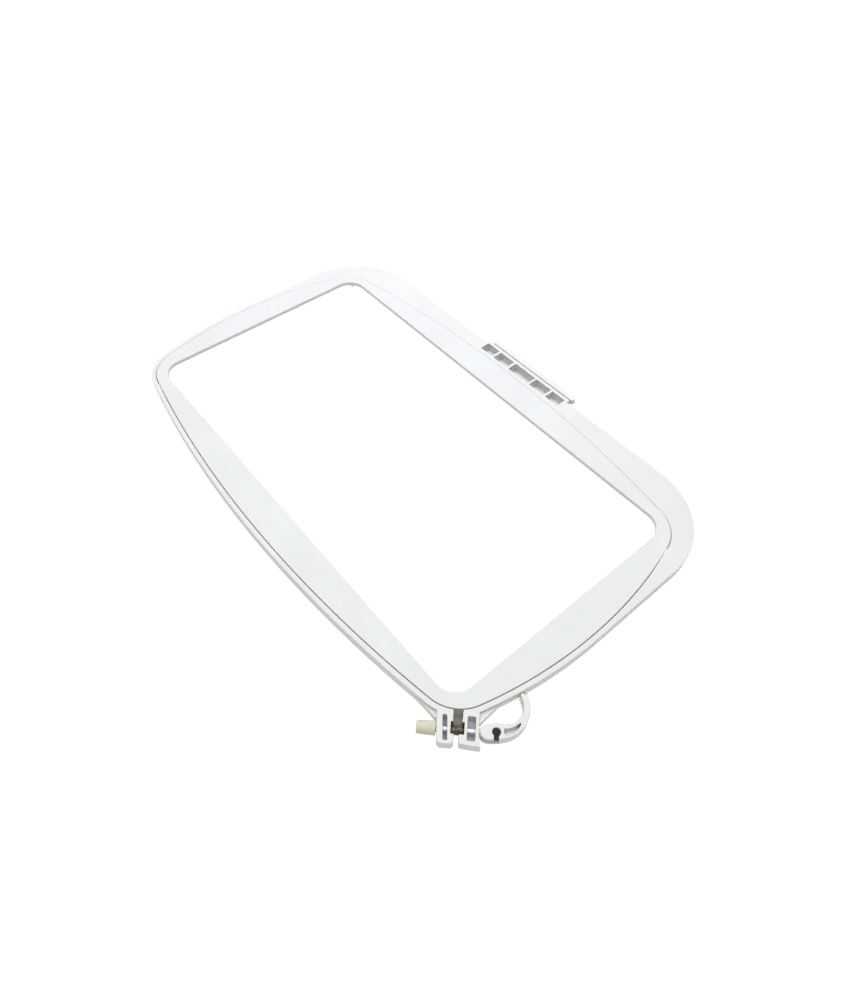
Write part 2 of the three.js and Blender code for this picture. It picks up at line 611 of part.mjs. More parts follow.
// Open spring-steel clip in the groove at the foot of the pin
function pinClip() {
  const inner = PIN_GROOVE_RADIUS + TOUCH_GAP;
  const outline = [
    ...arc(PIN_X, PIN_Y, CLIP_RADIUS, 0.2 * Math.PI, 1.8 * Math.PI, 20),
    ...arc(PIN_X, PIN_Y, inner, 1.8 * Math.PI, 0.2 * Math.PI, 16),
  ];
  return mesh('pin_clip', prism(outline, ...CLIP_Z), 'steel');
}

const hoop = new THREE.Group();
hoop.add(innerHoop(), outerHoop(), connectorBlock(), ...SCREW_X.map(connectorScrew));

const clamp = new THREE.Group();
clamp.rotation.z = CLAMP_ANGLE;
clamp.position.set(...CLAMP_ORIGIN, 0);
clamp.add(clampRod(), clampSpring(), ...springSeats(), nutWasher(), thumbNut(), nutInsert());
clamp.add(camLever(), leverPin(), pinClip());
hoop.add(clamp);

// Origin under the middle of the whole object's box
hoop.updateMatrixWorld(true);
const bounds = new THREE.Box3().setFromObject(hoop, true);
const centre = bounds.getCenter(new THREE.Vector3());
hoop.position.set(-centre.x, -centre.y, -bounds.min.z);

export default hoop;
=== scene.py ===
import math

import bmesh
import bpy
from mathutils import Euler, Matrix, Vector


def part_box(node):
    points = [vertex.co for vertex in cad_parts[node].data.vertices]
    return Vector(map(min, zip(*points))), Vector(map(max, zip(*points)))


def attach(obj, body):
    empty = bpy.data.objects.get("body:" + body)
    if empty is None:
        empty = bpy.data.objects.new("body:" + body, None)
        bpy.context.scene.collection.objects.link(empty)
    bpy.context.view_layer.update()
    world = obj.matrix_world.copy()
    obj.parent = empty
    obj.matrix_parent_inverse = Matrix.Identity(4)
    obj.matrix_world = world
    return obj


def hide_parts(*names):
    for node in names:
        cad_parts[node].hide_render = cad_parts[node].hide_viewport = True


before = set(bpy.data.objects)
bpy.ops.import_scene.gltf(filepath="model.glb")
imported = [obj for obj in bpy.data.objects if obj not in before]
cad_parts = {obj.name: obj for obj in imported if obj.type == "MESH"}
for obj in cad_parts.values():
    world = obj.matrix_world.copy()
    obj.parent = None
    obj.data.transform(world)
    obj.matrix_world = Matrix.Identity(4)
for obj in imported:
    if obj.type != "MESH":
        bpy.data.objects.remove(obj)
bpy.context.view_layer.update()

# All shapes are made in millimetres about the middle of the hoop's opening, then moved into the frame.
MM = 0.001
low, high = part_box("inner_hoop")
MIDDLE = Vector(((low.x + high.x) / 2, (low.y + high.y) / 2, low.z))
TO_FRAME = Matrix.Translation(MIDDLE) @ Matrix.Scale(MM, 4)
QUARTER = math.pi / 2

# Both hoops: the inner one's outline is four shallow arcs joined by corner fillets, and the outer one's
# inside is that outline widened by GAP and shifted towards the clamp
HALF_LENGTH = round((high.x - low.x) / 2 / MM, 2)
HALF_WIDTH = round((high.y - low.y) / 2 / MM, 2)
HEIGHT = round((high.z - low.z) / MM, 2)
LONG_RADIUS = 1041
SHORT_RADIUS = 340
CORNER_RADIUS = 29.6
GAP = 0.4
GAP_SHIFT = 0.26
GAP_MOVE = Matrix.Translation((GAP_SHIFT, -GAP_SHIFT, 0))
RING_OFFSET = 4.3
RIB_WALL = 1.6
RIB_PITCH = 38

# Play between neighbouring parts, and the ends of tools that cut right through
TOUCH = 0.3
BELOW = -3
ABOVE = HEIGHT + 1

# Inner hoop
OPENING_X = 193.1
OPENING_Y = 103.3
OPENING_CORNER = 15.5
PLATE_Z = 6.0
SKIRT_WALL = 2.4
INNER_RIB_Z = 3
INNER_RIB_INSET = 3
STUD_RADIUS = 0.8
STUD_OUTSET = 0.7
STUD_Z = (3.8, 8)

# Flange on the connector side
FLANGE_EDGE_Y = 141.6
FLANGE_X = HALF_LENGTH + RING_OFFSET
FLANGE_CORNER = 63
FLANGE_UNDER_Z = 7.0
FLANGE_WALL = 2.4
FLANGE_ROOT_Y = 20
FLANGE_RIB_ROOT_Y = 60
FLANGE_RIB_Z = 2
FLANGE_RIB_SHIFT = 9

# Connector: five windows in the flange, a foot plate under them and a rail outside, screwed on from below
WINDOWS = ((-37, -23), (-20.6, -4.2), (-1.7, 21.8), (23.9, 40.7), (43, 56.7))
WINDOW_Y = (132.2, 141.6)
PAD_X = (-39.8, 59.6)
PAD_Y = (WINDOW_Y[0] - 1.7, 145)
FOOT_X = (-59, 79)
FOOT_Y = (132.6, 138.9)
FOOT_Z = (0.6, 2.4)
FLOOR_X = (-37.5, 57.2)
FLOOR_EDGE_Y = 142
NECK_X = (-33, 57.2)
RAIL_X = (-36, 62)
RAIL_Y = (145.8, 151)
RAIL_END_RADIUS = 2.59
RAIL_LIP_Z = 4.6
SCREW_X = (-54, -45, 65, 74)
SCREW_Y = 135.9
SCREW_HOLE = 1.6
SCREW_RADIUS = 1.3
SCREW_CORE = 1.05
SCREW_PITCH = 0.4
SCREW_HEAD = 2.2
SCREW_HEAD_Z = 0.7
SCREW_LENGTH = 5.4
SCREW_SEAT = 2.5
SCREW_SEAT_Z = 1.7
SCREW_TURN = 0.35
BOSS_RADIUS = 3

# Clamp: x runs outward along the diagonal from the opening's corner, y along the rod
CLAMP_ORIGIN = (193.25, -103.5, 0)
CLAMP = Matrix.Translation(CLAMP_ORIGIN) @ Matrix.Rotation(-QUARTER / 2, 4, "Z")
ROD_X = 15.3
ROD_Z = 4.7
ROD_CENTRE = (ROD_X, 0, ROD_Z)
ROD_RADIUS = 2.15
ROD_HOLE = 2.5
ROD_CORE = 1.85
ROD_PITCH = 0.5
ROD_THREAD_END_Y = -10.6

# Lugs, webs beside them and the split between them; a pocket is its x, its y and its lean
SLOT_Y = (1.6, 6.5)
SPLIT_X = (2, 14)
FLARE = 0.065
LUG_END = 25.4
LUG_CORNER = 2.4
LEFT_LUG_Y = -8.8
RIGHT_LUG_Y = 17.2
LEFT_GUSSET = (
    (-5, -8), (-5, -25), (-3.4, -24.2), (-0.9, -21.4), (1.9, -18.3), (5.9, -13.8), (9.6, -10.2), (10.2, -8),
)
RIGHT_GUSSET = ((0, 16.8), (12, 16.8), (8.9, 19.3), (3.7, 24), (0.9, 26.5), (-1.9, 28.7), (-4, 28.7))
GUSSET_Z = (1, 6.8)
POCKETS = (((7.7, 23.3), (-5, -2.2), FLARE), ((7.6, 22.5), (9.95, 15), 0))
POCKET_FLOOR_Z = 1.2
CATCH_X = (213, 217.6)
CATCH_Y = (-63.6, -61.2)
CATCH_Z = (2, 7)

# Tongue across the foot of the split
TONGUE_X = (2, 11)
TONGUE_Z = (0.3, 2.7)
TONGUE_REACH = 0.8
TONGUE_RECESS = 1.2
TONGUE_ROOT = 0.05

# Spring and its seats
SPRING_RADIUS = 3.15
SPRING_WIRE = 0.9
SPRING_TURNS = 7
SPRING_PLAY = 0.05
CLOSED_TURN = 0.85
SEAT_RADIUS = SPRING_RADIUS - 0.15
SEAT_DEPTH = 1.75
SEAT_THICKNESS = 0.3
SEAT_GAP = 0.05
SEAT_TAB_X = (11.8, 14.2)
SEAT_TAB_Z = (8.2, 9)
SEAT_TAB_THICKNESS = 1.3
SEAT_WEB_Z = 7
NOTCH_HALF_LENGTH = 3.8

# Thumb nut, its insert and its washer
NUT_END_Y = -21
NUT_MOUTH_Y = LEFT_LUG_Y - 1.3 * TOUCH
NUT_RADIUS = (4.05, 4.43)
NUT_FILLET = 0.9
NUT_BORE = 3.55
NUT_HOLE = 1.4
NUT_FLUTES = 20
FLUTE_RADIUS = 0.3
FLUTE_OUTSET = 0.36
WASHER_THICKNESS = 0.8
WASHER_RADIUS = 3.3
WASHER_Y = LEFT_LUG_Y - TOUCH - WASHER_THICKNESS
INSERT_RADIUS = 3.4
INSERT_HOLE = (2.2, 2.4)
INSERT_LENGTH = 7.5
INSERT_GROOVES = 24

# Lever, its cross pin and the pin's clip; RECESS_RISE is the slope of the recess's floor along x and y
LEVER_OUTLINE = (
    (16.6, 17.7), (13.6, 18.4), (11.1, 21.9), (10.1, 27.5), (10.2, 32), (9.6, 36.2), (7.4, 39.9),
    (4.2, 42.4), (1, 43.7), (-2.5, 43.8), (-6.4, 42.8), (-9.2, 41.9), (-10.1, 43.8), (-8.8, 46),
    (-5.5, 47.3), (-1.2, 48.1), (3.6, 47.6), (8.3, 46), (12.5, 43.4), (15.5, 40.3), (17.7, 36.6),
    (19.3, 32), (20.3, 27), (20.5, 22.2), (19.2, 19),
)
RECESS_OUTLINE = (
    (13.2, 32.3), (12.9, 34.1), (12.1, 36.8), (10.6, 39.4), (8.6, 42.2), (9.9, 42.2), (13.3, 40.1),
    (16.2, 36.8), (16.9, 32.7),
)
RECESS_FLOOR = 4.6
RECESS_RISE = (0.81, 0.28)
LEVER_SLOT_Z = (2.1, 7.3)
LEVER_SLOT_SIDE = 2
LEVER_SLOT_REACH = 12
KEYWAY_REACH = 8
PIN_X = 15.5
PIN_Y = 27.6
PIN_CENTRE = (PIN_X, PIN_Y, 0)
PIN_RADIUS = 1.8
PIN_HOLE = PIN_RADIUS + 0.15
PIN_HEAD = 2.5
PIN_GROOVE = 1.2
PIN_TOP_Z = 8.8
EYE_RADIUS = 3.5
EYE_Z = (2.5, 6.9)
KEY_X = 20.2
KEY_HALF_WIDTH = 1.45
CLIP_RADIUS = 3.1
CLIP_HOLE = 1.5
CLIP_Z = (0.6, 1.1)
CLIP_SEAT = 3.6
CLIP_SEAT_Z = 1.3
CLIP_MOUTH = 0.2 * math.pi

# Floor, light and camera, in metres and degrees
FLOOR_HALF_SIZE = 9
FLOOR_DROP = 0.0002
LAMP_PLACE = (-0.4, 0.35, 0.8)
LAMP_TARGET = (-0.15, 0.05, 0)
LAMP_SIZE = 0.9
LAMP_POWER = 5.6
LAMP_COLOUR = (0.82, 0.82, 1.0)
SKY_STRENGTH = 2.98
CAMERA_PLACE = (0.299229, -0.218801, 0.423807)
CAMERA_TURN = (36.88301, -0.32547, 50.34704)
CAMERA_LENS = 24.82


# ---- outlines -------------------------------------------------------------------------------

def arc(cx, cy, radius, start, end, steps):
    points = []
    for i in range(steps + 1):
        angle = start + (end - start) * i / steps
        points.append((cx + radius * math.cos(angle), cy + radius * math.sin(angle)))
    return points


def rectangle(x, y, radius=0.0, steps=6):
    """A rectangle from x[0], y[0] to x[1], y[1], anticlockwise, with round corners."""
    if radius <= 0:
        return [(x[0], y[0]), (x[1], y[0]), (x[1], y[1]), (x[0], y[1])]
    points = arc(x[1] - radius, y[0] + radius, radius, -QUARTER, 0, steps)
    points += arc(x[1] - radius, y[1] - radius, radius, 0, QUARTER, steps)
    points += arc(x[0] + radius, y[1] - radius, radius, QUARTER, 2 * QUARTER, steps)
    points += arc(x[0] + radius, y[0] + radius, radius, 2 * QUARTER, 3 * QUARTER, steps)
    return points


def bow_fillet():
    """The centre of the bowed outline's corner fillet, and the angles at which it meets the sides."""
    long_centre = LONG_RADIUS - HALF_WIDTH
    short_centre = SHORT_RADIUS - HALF_LENGTH
    to_long = LONG_RADIUS - CORNER_RADIUS
    to_short = SHORT_RADIUS - CORNER_RADIUS
    slope = short_centre / long_centre
    offset = (to_long ** 2 - to_short ** 2 - long_centre ** 2 + short_centre ** 2) / (2 * long_centre)
    a = 1 + slope ** 2
    b = short_centre + offset * slope
    c = short_centre ** 2 + offset ** 2 - to_short ** 2
    x = (-b + math.sqrt(b ** 2 - a * c)) / a
    y = offset + slope * x
    return x, y, math.atan2(y + long_centre, x), math.atan2(y, x + short_centre)


def bowed_lower_half(offset):
    """The half of the bowed outline on the clamp side, from left to right."""
    x, y, long_angle, short_angle = bow_fillet()
    long_centre = LONG_RADIUS - HALF_WIDTH
    short_centre = SHORT_RADIUS - HALF_LENGTH
    short = SHORT_RADIUS + offset
    corner = CORNER_RADIUS + offset
    half = math.pi
    turn = 2 * math.pi
    points = arc(short_centre, 0, short, half, half + short_angle, 20)
    points += arc(-x, -y, corner, half + short_angle, half + long_angle, 20)[1:]
    points += arc(0, long_centre, LONG_RADIUS + offset, half + long_angle, turn - long_angle, 64)[1:]
    points += arc(x, -y, corner, turn - long_angle, turn - short_angle, 20)[1:]
    points += arc(-short_centre, 0, short, turn - short_angle, turn, 20)[1:]
    return points


def bowed_outline(offset):
    lower = bowed_lower_half(offset)
    return lower + [(-x, -y) for x, y in lower[1:-1]]


def flange_outline(inset_by):
    """The flange's outer edge, from right to left."""
    x = FLANGE_X - inset_by
    y = FLANGE_EDGE_Y - inset_by
    radius = FLANGE_CORNER - inset_by
    points = arc(x - radius, y - radius, radius, 0, QUARTER, 32)
    points += arc(radius - x, y - radius, radius, QUARTER, 2 * QUARTER, 32)
    return points


def spline(corners, per_corner=8):
    """A closed smooth curve through the corners (centripetal Catmull-Rom)."""
    count = len(corners)
    points = []
    for i in range(count):
        p0, p1, p2, p3 = (Vector(corners[(i + k) % count]) for k in (-1, 0, 1, 2))
        t1 = (p1 - p0).length ** 0.5
        t2 = t1 + (p2 - p1).length ** 0.5
        t3 = t2 + (p3 - p2).length ** 0.5
        for k in range(per_corner):
            t = t1 + (t2 - t1) * k / per_corner
            a1 = p0.lerp(p1, t / t1)
            a2 = p1.lerp(p2, (t - t1) / (t2 - t1))
            a3 = p2.lerp(p3, (t - t2) / (t3 - t2))
            b1 = a1.lerp(a2, t / t2)
            b2 = a2.lerp(a3, (t - t1) / (t3 - t1))
            point = b1.lerp(b2, (t - t1) / (t2 - t1))
            points.append((point.x, point.y))
    return points


def leaning(points, lean):
    """The outline sheared along the rod, about the rod's place."""
    return [(x, y + lean * (x - ROD_X)) for x, y in points]


def slot_sides(x):
    """The two walls of the split at x; it widens towards the hoop."""
    widening = FLARE * (ROD_X - x)
    return SLOT_Y[0] - widening, SLOT_Y[1] + widening


def area(points):
    total = 0
    for i, (x, y) in enumerate(points):
        px, py = points[i - 1]
        total += px * y - x * py
    return total / 2


def inset(points, distance):
    """The anticlockwise outline moved inward by that distance."""
    if abs(distance) < 1e-9:
        return list(points)
    result = []
    count = len(points)
    for i, (x, y) in enumerate(points):
        px, py = points[i - 1]
        nx, ny = points[(i + 1) % count]
        a = Vector((x - px, y - py)).normalized()
        b = Vector((nx - x, ny - y)).normalized()
        normal = Vector((-a.y - b.y, a.x + b.x))
        normal.normalize()
        spread = max(0.4, normal.dot(Vector((-a.y, a.x))))
        result.append((x + normal.x * distance / spread, y + normal.y * distance / spread))
    return result


# ---- solids ---------------------------------------------------------------------------------

def linked(name, mesh):
    made = bpy.data.objects.new(name, mesh)
    bpy.context.scene.collection.objects.link(made)
    return made


def solid(name, vertices, faces):
    mesh = bpy.data.meshes.new(name)
    mesh.from_pydata(vertices, [], faces)
    mesh.validate()
    return linked(name, mesh)


def outward(made):
    work = bmesh.new()
    work.from_mesh(made.data)
    bmesh.ops.recalc_face_normals(work, faces=work.faces)
    work.to_mesh(made.data)
    work.free()
    return made


def stack(points, rings):
    """A solid from one outline repeated at each (inset, z) of rings, closed at both ends."""
    if area(points) < 0:
        points = list(reversed(points))
    count = len(points)
    vertices = []
    for distance, z in rings:
        vertices += [(x, y, z) for x, y in inset(points, distance)]
    faces = [tuple(range(count - 1, -1, -1))]
    for level in range(len(rings) - 1):
        start = level * count
        for i in range(count):
            j = (i + 1) % count
            faces.append((start + i, start + j, start + count + j, start + count + i))
    faces.append(tuple(range((len(rings) - 1) * count, len(rings) * count)))
    return solid("stack", vertices, faces)


def edge_rings(start, end, top, bottom, steps=4):
    """The (inset, place) pairs that round the first and the last edge of something between start and end."""
    rings = []
    for i in range(steps + 1 if bottom > 0 else 1):
        angle = QUARTER * i / steps
        rings.append((bottom * (1 - math.sin(angle)), start + bottom * (1 - math.cos(angle))))
    for i in range(steps + 1 if top > 0 else 1):
        angle = QUARTER * i / steps
        rings.append((top * (1 - math.cos(angle)), end - top + top * math.sin(angle)))
    return rings


def slab(points, z0, z1, top=0.0, bottom=0.0, steps=4):
    """A plate with rounded upper and lower edges."""
    return stack(points, edge_rings(z0, z1, top, bottom, steps))


def cutter(points, z0, z1, top=0.0, bottom=0.0):
    """A tool for a hole from z0 to z1 that leaves rounded edges where it comes out of a face."""
    rings = [(-distance, z) for distance, z in edge_rings(z0, z1, top, bottom)]
    if bottom > 0:
        rings.insert(0, (-bottom, z0 - 1))
    if top > 0:
        rings.append((-top, z1 + 1))
    return stack(points, rings)


def circle(radius, z, sides):
    points = []
    for i in range(sides):
        angle = 2 * math.pi * i / sides
        points.append((radius * math.cos(angle), radius * math.sin(angle), z))
    return points


def placed(made, axis, centre):
    """Turns a solid made about Z to its axis and moves it to its place."""
    if axis == "Y":
        made.data.transform(Matrix.Rotation(-QUARTER, 4, "X"))
    made.data.transform(Matrix.Translation(centre))
    return outward(made)


def turned(profile, axis, centre, sides):
    """A solid of revolution; profile gives (radius, place along the axis) and starts and ends on the axis."""
    vertices = []
    faces = []
    rings = []
    for radius, along in profile:
        start = len(vertices)
        vertices += [(0, 0, along)] if radius < 1e-6 else circle(radius, along, sides)
        rings.append(range(start, len(vertices)))
    for a, b in zip(rings, rings[1:]):
        for i in range(sides):
            j = (i + 1) % sides
            if len(a) == 1:
                faces.append((a[0], b[j], b[i]))
            elif len(b) == 1:
                faces.append((a[i], a[j], b[0]))
            else:
                faces.append((a[i], a[j], b[j], b[i]))
    return placed(solid("turned", vertices, faces), axis, centre)


def bar(radius, ends, axis, centre, sides):
    return turned([(0, ends[0]), (radius, ends[0]), (radius, ends[1]), (0, ends[1])], axis, centre, sides)


def rod_ring(outer, inner, sides):
    """A closed ring round the rod, between an outer and an inner profile."""
    profile = list(outer) + list(reversed(inner))
    vertices = []
    faces = []
    for radius, along in profile:
        vertices += circle(radius, along, sides)
    count = len(profile)
    for level in range(count):
        after = (level + 1) % count
        for i in range(sides):
            j = (i + 1) % sides
            faces.append((level * sides + i, level * sides + j, after * sides + j, after * sides + i))
    return placed(solid("ring", vertices, faces), "Y", ROD_CENTRE)


def rounded_ends(radius, start, end, fillet):
    """The outer profile of a round bar with rounded ends, without its end faces."""
    return [(radius - distance, along) for distance, along in edge_rings(start, end, fillet, fillet)]


def thread(pattern, start, end, pitch):
    """A profile's pattern of (radius, step along the axis), repeated at every pitch."""
    profile = []
    along = start
    while along < end:
        profile += [(radius, along + step) for radius, step in pattern]
        along += pitch
    return profile


def bars_round_rod(profile, count, reach, sides, first=0.0):
    """Bars parallel to the rod, evenly spaced on a circle round it, as one object."""
    bars = []
    for i in range(count):
        angle = 2 * math.pi * (i + first) / count
        centre = (ROD_X + reach * math.cos(angle), 0, ROD_Z + reach * math.sin(angle))
        bars.append(turned(profile, "Y", centre, sides))
    return merged(bars)


def swept(path, radius, sides=14):
    """A round wire along a path, with its ends drawn in."""
    vertices = []
    faces = []
    count = len(path)
    normal = None
    for i, point in enumerate(path):
        ahead = path[min(i + 1, count - 1)] - path[max(i - 1, 0)]
        ahead.normalize()
        if normal is None:
            normal = ahead.orthogonal().normalized()
        normal = (normal - ahead * normal.dot(ahead)).normalized()
        side = ahead.cross(normal)
        size = radius * (0.6 if i in (0, count - 1) else 1)
        for k in range(sides):
            angle = 2 * math.pi * k / sides
            vertices.append(point + (normal * math.cos(angle) + side * math.sin(angle)) * size)
    for i in range(count - 1):
        for k in range(sides):
            j = (k + 1) % sides
            faces.append((i * sides + k, i * sides + j, (i + 1) * sides + j, (i + 1) * sides + k))
    faces.append(tuple(range(sides - 1, -1, -1)))
    faces.append(tuple(range((count - 1) * sides, count * sides)))
    return outward(solid("wire", vertices, faces))


def moved(made, matrix):
    made.data.transform(matrix)
    return made


def merged(solids):
    """Separate solids as one object, for a single cut."""
    work = bmesh.new()
    for made in solids:
        work.from_mesh(made.data)
        bpy.data.objects.remove(made)
    mesh = bpy.data.meshes.new("merged")
    work.to_mesh(mesh)
    work.free()
    return linked("merged", mesh)


def combined(body, tool, operation):
    """Applies a boolean, with the exact solver where the faster one leaves nothing."""
    for solver in ("MANIFOLD", "EXACT"):
        boolean = body.modifiers.new("boolean", "BOOLEAN")
        boolean.operation = operation
        boolean.solver = solver
        boolean.object = tool
        graph = bpy.context.evaluated_depsgraph_get()
        mesh = bpy.data.meshes.new_from_object(body.evaluated_get(graph))
        body.modifiers.clear()
        if len(mesh.polygons) > 0:
            body.data = mesh
            break
        print("boolean failed with", solver, body.name)
    bpy.data.objects.remove(tool)
    return body


def joined(body, *tools):
    for tool in tools:
        combined(body, tool, "UNION")
    return body


def cut(body, *tools):
    for tool in tools:
        combined(body, tool, "DIFFERENCE")
    return body


def finished(made, name, node, body, material, in_clamp=False, sharp=38):
    """Moves a solid into the frame, shades it and stands it in for its CAD node."""
    work = bmesh.new()
    work.from_mesh(made.data)
    bmesh.ops.remove_doubles(work, verts=work.verts, dist=0.002)
    bmesh.ops.dissolve_degenerate(work, edges=work.edges, dist=0.002)
    bmesh.ops.dissolve_limit(work, angle_limit=math.radians(0.05), verts=work.verts, edges=work.edges)
    for face in work.faces:
        face.smooth = True
    work.to_mesh(made.data)
    work.free()
    made.name = name
    made.data.name = name
    made.data.transform(TO_FRAME @ CLAMP if in_clamp else TO_FRAME)
    made.data.set_sharp_from_angle(angle=math.radians(sharp))
    weighted = made.modifiers.new("weighted normals", "WEIGHTED_NORMAL")
    weighted.mode = "FACE_AREA"
    weighted.weight = 90
    weighted.keep_sharp = True
    made.data.materials.clear()
    made.data.materials.append(material)
    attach(made, body)
    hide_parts(node)
    return made


def refinished(made, material, place, wanted):
    """Gives a second material, here painted shade, to the faces whose middle, in millimetres and as place has
    it, is wanted.
    """
    made.data.materials.append(material)
    back = (TO_FRAME @ place).inverted()
    for face in made.data.polygons:
        if wanted(back @ face.center, face.normal):
            face.material_index = 1


# ---- materials ------------------------------------------------------------------------------

def ramp(nodes, links, source, low_colour, high_colour, start=0.35, end=0.65):
    made = nodes.new("ShaderNodeValToRGB")
    made.color_ramp.elements[0].position = start
    made.color_ramp.elements[1].position = end
    made.color_ramp.elements[0].color = (*low_colour, 1)
    made.color_ramp.elements[1].color = (*high_colour, 1)
    links.new(source, made.inputs["Fac"])
    return made.outputs["Color"]


def noise(nodes, links, coordinates, scale, detail, roughness):
    made = nodes.new("ShaderNodeTexNoise")
    made.inputs["Scale"].default_value = scale
    made.inputs["Detail"].default_value = detail
    made.inputs["Roughness"].default_value = roughness
    links.new(coordinates, made.inputs["Vector"])
    return made.outputs["Fac"]


def remapped(nodes, links, source, low_value, high_value):
    """The usual span of a noise, 0.3 to 0.7, taken to another span."""
    made = nodes.new("ShaderNodeMapRange")
    made.inputs["From Min"].default_value = 0.3
    made.inputs["From Max"].default_value = 0.7
    made.inputs["To Min"].default_value = low_value
    made.inputs["To Max"].default_value = high_value
    links.new(source, made.inputs["Value"])
    return made.outputs["Result"]


def finish_material(name, low_colour, high_colour, roughness, bump, tone_scale=28, grain_scale=2600,
                    metallic=0.0, stretch=(1, 1, 1), turn=0.0, specular=0.5):
    """A procedural finish: tone between two linear colours, gloss between two values, and a fine grain."""
    material = bpy.data.materials.new(name)
    material.use_nodes = True
    nodes = material.node_tree.nodes
    links = material.node_tree.links
    shader = nodes["Principled BSDF"]
    place = nodes.new("ShaderNodeTexCoord")
    mapping = nodes.new("ShaderNodeMapping")
    mapping.inputs["Rotation"].default_value = (0, 0, turn)
    links.new(place.outputs["Object"], mapping.inputs["Vector"])
    grain_map = nodes.new("ShaderNodeMapping")
    grain_map.inputs["Scale"].default_value = stretch
    links.new(mapping.outputs["Vector"], grain_map.inputs["Vector"])
    tone = noise(nodes, links, mapping.outputs["Vector"], tone_scale, 4.0, 0.55)
    gloss = noise(nodes, links, grain_map.outputs["Vector"], grain_scale * 0.12, 3.0, 0.6)
    grain = noise(nodes, links, grain_map.outputs["Vector"], grain_scale, 2.0, 0.5)
    links.new(ramp(nodes, links, tone, low_colour, high_colour), shader.inputs["Base Color"])
    links.new(remapped(nodes, links, gloss, roughness[0], roughness[1]), shader.inputs["Roughness"])
    relief = nodes.new("ShaderNodeBump")
    relief.inputs["Strength"].default_value = bump
    relief.inputs["Distance"].default_value = 0.00004
    links.new(grain, relief.inputs["Height"])
    links.new(relief.outputs["Normal"], shader.inputs["Normal"])
    shader.inputs["Metallic"].default_value = metallic
    shader.inputs["Specular IOR Level"].default_value = specular
    return material


WHITE = finish_material("white_plastic", (0.625, 0.632, 0.62), (0.65, 0.657, 0.645), (0.36, 0.46), 0.25,
                        specular=0.2)
IVORY = finish_material("ivory_plastic", (0.632, 0.638, 0.615), (0.657, 0.663, 0.64), (0.40, 0.52), 0.3,
                        specular=0.2)
BLOCK = finish_material("connector_plastic", (0.645, 0.652, 0.63), (0.67, 0.677, 0.655), (0.36, 0.46), 0.3,
                        specular=0.2)
LEVER = finish_material("lever_plastic", (0.632, 0.636, 0.61), (0.657, 0.661, 0.635), (0.34, 0.44), 0.25,
                        specular=0.2)
CREAM = finish_material("cream_plastic", (0.535, 0.515, 0.395), (0.575, 0.555, 0.43), (0.42, 0.52), 0.3,
                        specular=0.3)
STEEL = finish_material("bright_rod_steel", (0.56, 0.575, 0.60), (0.64, 0.655, 0.68), (0.46, 0.58), 0.25,
                        grain_scale=1800, metallic=1.0, stretch=(1, 14, 14), turn=-QUARTER / 2)
BRUSHED = finish_material("plated_steel", (0.50, 0.51, 0.52), (0.60, 0.61, 0.62), (0.26, 0.40), 0.35,
                          grain_scale=2200, metallic=1.0, stretch=(1, 8, 1))
# Bronze for the spring, darkened far below the metal's own colour as painted shade for the shadow between the
# lugs
SHADED_BRONZE = finish_material("bronze_and_painted_shade", (0.085, 0.059, 0.019), (0.175, 0.13, 0.05), (0.42, 0.58), 0.4,
                         tone_scale=260, grain_scale=2400, metallic=0.6)
# Painted shade: a darker grey for the shadow on the walls and floors inside the lugs' pockets
POCKET_SHADE = finish_material("pocket_painted_shade", (0.57, 0.57, 0.58), (0.61, 0.61, 0.62), (0.6, 0.75),
                              0.3, specular=0.2)
# Painted shade: a darker, cooler grey for the shadow on the floor of the connector's windows
WINDOW_FLOOR_SHADE = finish_material("window_floor_painted_shade", (0.59, 0.59, 0.61), (0.63, 0.63, 0.65), (0.6, 0.75),
                             0.3, specular=0.2)
# Painted shade: a dark olive grey for the shadow deep in the narrow split
TONGUE_SHADE = finish_material("split_tongue_painted_shade", (0.175, 0.165, 0.13), (0.225, 0.21, 0.17), (0.45, 0.6), 0.3,
                        tone_scale=200, grain_scale=1500, specular=0.3)
BRASS = finish_material("knurled_brass", (0.62, 0.44, 0.17), (0.74, 0.54, 0.24), (0.28, 0.42), 0.35,
                        grain_scale=2200, metallic=1.0)
# Painted shade: near-black for the shadow in the notch's corners beside the spring's ends
SEAT_SHADE = finish_material("seat_painted_shade", (0.012, 0.012, 0.012), (0.025, 0.024, 0.022), (0.6, 0.8), 0.4,
                       tone_scale=300, specular=0.15)
BLACK = finish_material("black_oxide", (0.006, 0.006, 0.007), (0.016, 0.016, 0.018), (0.4, 0.6), 0.35,
                        tone_scale=400, specular=0.2)


# ---- inner hoop -----------------------------------------------------------------------------

def inner_ribs():
    """Short ribs under the plate, from near the opening out to the skirt."""
    half = RIB_WALL / 2
    inner_x = OPENING_X + INNER_RIB_INSET
    inner_y = OPENING_Y + INNER_RIB_INSET
    outlines = []
    for i in range(-5, 6):
        x = i * RIB_PITCH
        for side in (-1, 1):
            outlines.append(rectangle((x - half, x + half), sorted((side * inner_y, side * HALF_WIDTH))))
    for i in range(-2, 3):
        y = i * RIB_PITCH
        for side in (-1, 1):
            outlines.append(rectangle(sorted((side * inner_x, side * HALF_LENGTH)), (y - half, y + half)))
    ribs = [slab(outline, INNER_RIB_Z, PLATE_Z + 1, bottom=0.35) for outline in outlines]
    return combined(merged(ribs), slab(bowed_outline(-SKIRT_WALL / 2), BELOW, ABOVE), "INTERSECT")


def corner_stud():
    """A stud under the plate at the opening's corner opposite the clamp."""
    step = OPENING_CORNER - (OPENING_CORNER + STUD_OUTSET) * math.sqrt(0.5)
    foot, top = STUD_Z
    profile = [(0, foot), (STUD_RADIUS - 0.3, foot), (STUD_RADIUS, foot + 0.3), (STUD_RADIUS, top), (0, top)]
    return turned(profile, "Z", (step - OPENING_X, OPENING_Y - step, 0), 20)


